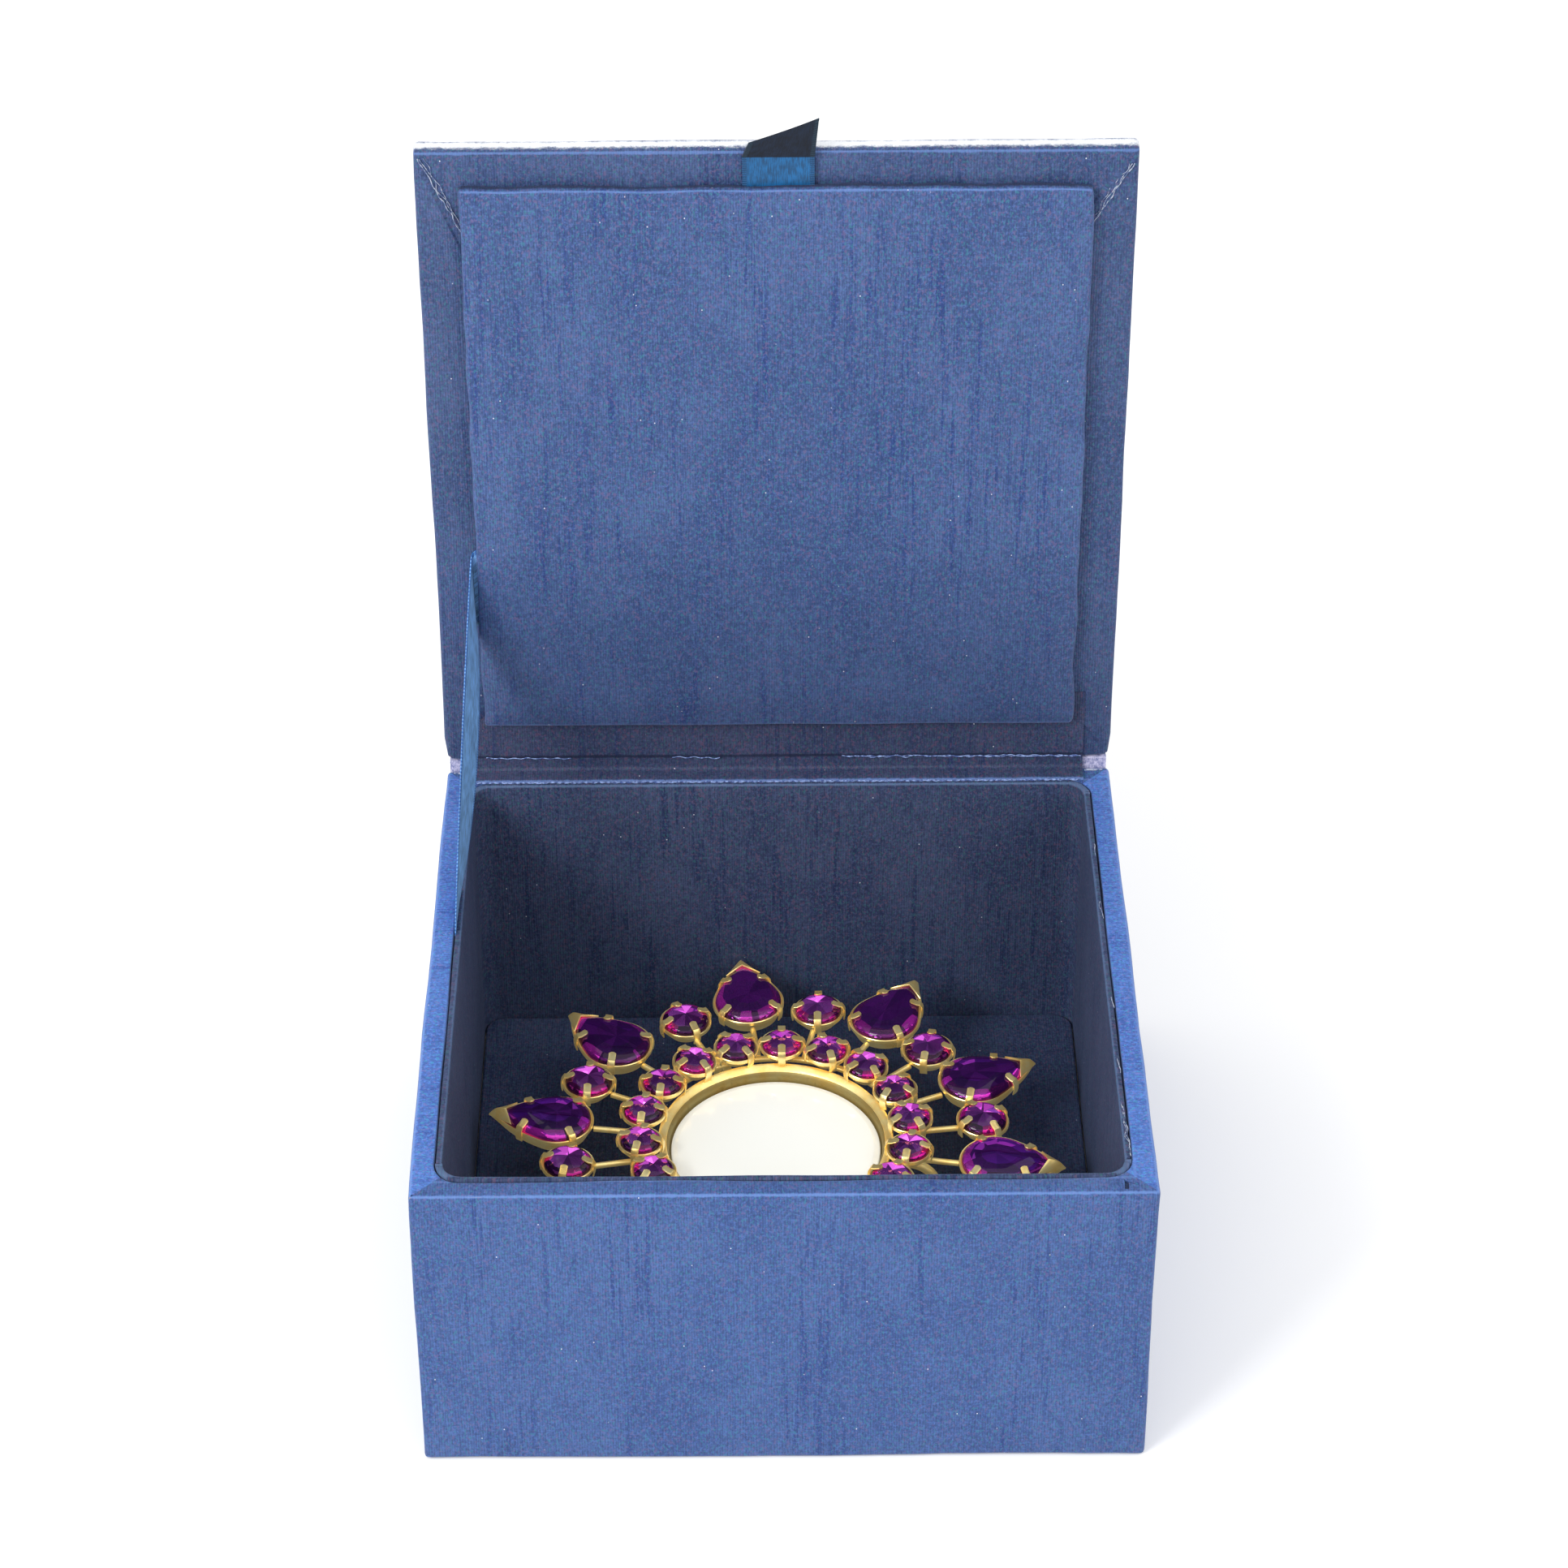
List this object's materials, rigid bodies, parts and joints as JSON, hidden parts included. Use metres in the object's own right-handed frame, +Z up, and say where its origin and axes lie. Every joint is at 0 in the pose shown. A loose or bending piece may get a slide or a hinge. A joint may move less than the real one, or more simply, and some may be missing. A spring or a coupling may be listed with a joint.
{
  "type": "hinged cloth-covered gift box",
  "caption": "Square cloth-covered presentation box with a ribbon-stayed hinged lid, padded lining and a jewelled candle holder inside.",
  "frame": {"origin": "middle of the tray's flat underside", "axes": "+Z up, +X to the right seen from the front, +Y towards the hinge at the back"},
  "size_m": [0.1252, 0.1291, 0.1964],
  "materials": {
    "outer_silk": "ribbed navy silk with a soft sheen",
    "lining_silk": "ribbed navy silk, matte",
    "ribbon": "satin ribbon, deep blue",
    "greyboard": "raw pressed board",
    "card": "raw card",
    "kraft_paper": "brown gummed paper",
    "wadding": "white polyester wadding",
    "gilt_brass": "bright yellow gilt, lightly brushed",
    "opal_glass": "white opal glass",
    "purple_stone": "foil-backed cut glass, purple to magenta"
  },
  "bodies": {
    "tray": {"base_board": "greyboard", "front_wall_board": "greyboard", "rear_wall_board": "greyboard", "left_wall_board": "greyboard", "right_wall_board": "greyboard", "corner_stays": "kraft_paper", "tray_cover_cloth": "outer_silk", "underside_lining": "outer_silk", "left_liner_card": "card", "left_liner_cloth": "lining_silk", "right_liner_card": "card", "right_liner_cloth": "lining_silk", "front_liner_card": "card", "front_liner_cloth": "lining_silk", "rear_liner_card": "card", "rear_liner_cloth": "lining_silk", "floor_pad_card": "card", "floor_pad_cloth": "lining_silk", "hinge_lining_cloth": "lining_silk", "spine_cloth": "outer_silk", "stay_ribbon": "ribbon"},
    "lid": {"lid_board": "greyboard", "lid_cover_cloth": "outer_silk", "lid_panel_card": "card", "lid_panel_wadding": "wadding", "lid_panel_cloth": "lining_silk", "pull_ribbon": "ribbon"},
    "candle_holder": {"ring_pan": "gilt_brass", "glass_disc": "opal_glass", "wire_ring": "gilt_brass", "wire_legs": "gilt_brass", "inner_settings": "gilt_brass", "inner_stones": "purple_stone", "round_settings": "gilt_brass", "round_stones": "purple_stone", "pear_settings": "gilt_brass", "pear_stones": "purple_stone", "round_stems": "gilt_brass", "pear_stems": "gilt_brass"}
  },
  "joints": [
    {"name": "lid_hinge", "type": "hinge", "parent": "tray", "child": "lid", "pos_m": [0, 0.06381, 0.06291], "axis": [1, 0, 0], "range_deg": [0, 90.9], "deforming": ["hinge_lining_cloth", "spine_cloth", "stay_ribbon"]},
    {"name": "candle_holder_lift", "type": "slide", "parent": "tray", "child": "candle_holder", "axis": [0, 0, 1], "range_m": [0, 0.034]}
  ]
}
